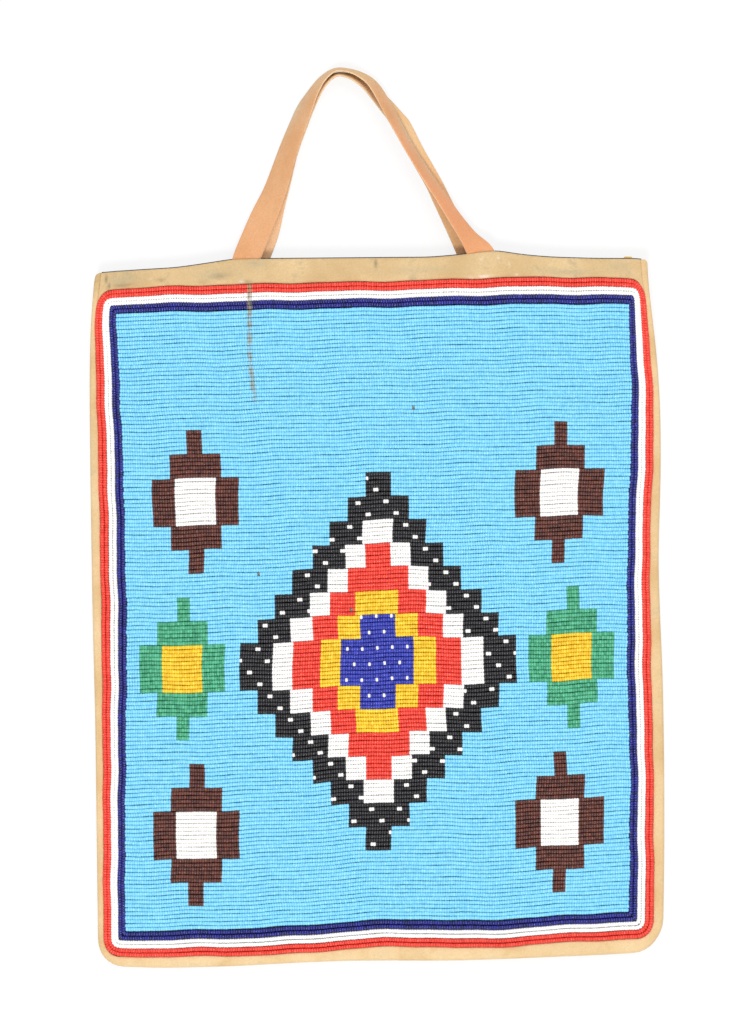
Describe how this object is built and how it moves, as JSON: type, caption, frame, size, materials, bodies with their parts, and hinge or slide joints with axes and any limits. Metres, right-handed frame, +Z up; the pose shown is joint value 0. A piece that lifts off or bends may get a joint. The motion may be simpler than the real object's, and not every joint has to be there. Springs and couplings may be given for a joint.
{
  "type": "beaded pouch",
  "caption": "Flat hide-backed pouch with a beadwork front, bordered with striped bands, two short hide handle straps and a zip along its mouth.",
  "frame": {"origin": "Middle of the whole object's box in X and Y, on the surface the pouch lies on.", "axes": "+X runs across the pouch to the right as seen from its beaded front, +Y from its bottom seam to the mouth and the handles, +Z up out of the beaded front. The pouch lies on its back."},
  "size_m": [0.2742, 0.4332, 0.0132],
  "materials": {
    "hide": "smoked and tanned hide, suede side out, undyed buff",
    "strap_hide": "soft hide strap, orange buff grain with paler edges",
    "canvas": "plain woven cotton canvas, undyed",
    "zip_tape": "woven cotton tape, dark blue grey",
    "brass": "stamped brass, worn and dull",
    "beads_sky": "opaque drawn glass seed beads, glossy, sewn in rows",
    "beads_red": "opaque drawn glass seed beads, glossy, sewn in rows",
    "beads_white": "opaque drawn glass seed beads, glossy, sewn in rows",
    "beads_navy": "opaque drawn glass seed beads, glossy, sewn in rows",
    "beads_black": "opaque drawn glass seed beads, glossy, sewn in rows",
    "beads_yellow": "opaque drawn glass seed beads, glossy, sewn in rows",
    "beads_blue": "opaque drawn glass seed beads, glossy, sewn in rows",
    "beads_green": "opaque drawn glass seed beads, glossy, sewn in rows",
    "beads_brown": "opaque drawn glass seed beads, glossy, sewn in rows"
  },
  "bodies": {
    "pouch": {"front_panel": "canvas", "back_panel": "hide", "side_binding": "hide", "top_band_front": "hide", "top_band_back": "hide", "beads_sky_ground": "beads_sky", "beads_black_ring": "beads_black", "beads_white_ring": "beads_white", "beads_red_ring": "beads_red", "beads_yellow_ring": "beads_yellow", "beads_blue_core": "beads_blue", "beads_upper_left_ring": "beads_brown", "beads_upper_left_core": "beads_white", "beads_upper_right_ring": "beads_brown", "beads_upper_right_core": "beads_white", "beads_lower_left_ring": "beads_brown", "beads_lower_left_core": "beads_white", "beads_lower_right_ring": "beads_brown", "beads_lower_right_core": "beads_white", "beads_middle_left_ring": "beads_green", "beads_middle_left_core": "beads_yellow", "beads_middle_right_ring": "beads_green", "beads_middle_right_core": "beads_yellow", "border_red": "beads_red", "border_white": "beads_white", "border_navy": "beads_navy", "zip_tape_front": "zip_tape", "zip_tape_back": "zip_tape", "zip_teeth_front": "brass", "zip_teeth_back": "brass", "zip_bottom_stop": "brass", "zip_top_stop_front": "brass", "zip_top_stop_back": "brass", "handle_strap_front": "strap_hide", "handle_strap_back": "strap_hide"},
    "slider": {"zip_slider": "brass"},
    "pull_tab": {"zip_pull_tab": "brass"}
  },
  "joints": [
    {"name": "slider_travel", "type": "slide", "parent": "pouch", "child": "slider", "axis": [-0.9997, -0.0247, 0], "range_m": [0, 0.2411], "deforming": ["zip_teeth_front", "zip_teeth_back", "zip_tape_front", "zip_tape_back"]},
    {"name": "pull_swing", "type": "hinge", "parent": "slider", "child": "pull_tab", "pos_m": [0.12074, 0.12348, 0.0062], "axis": [0, 0, -1], "range_deg": [0, 145]}
  ]
}
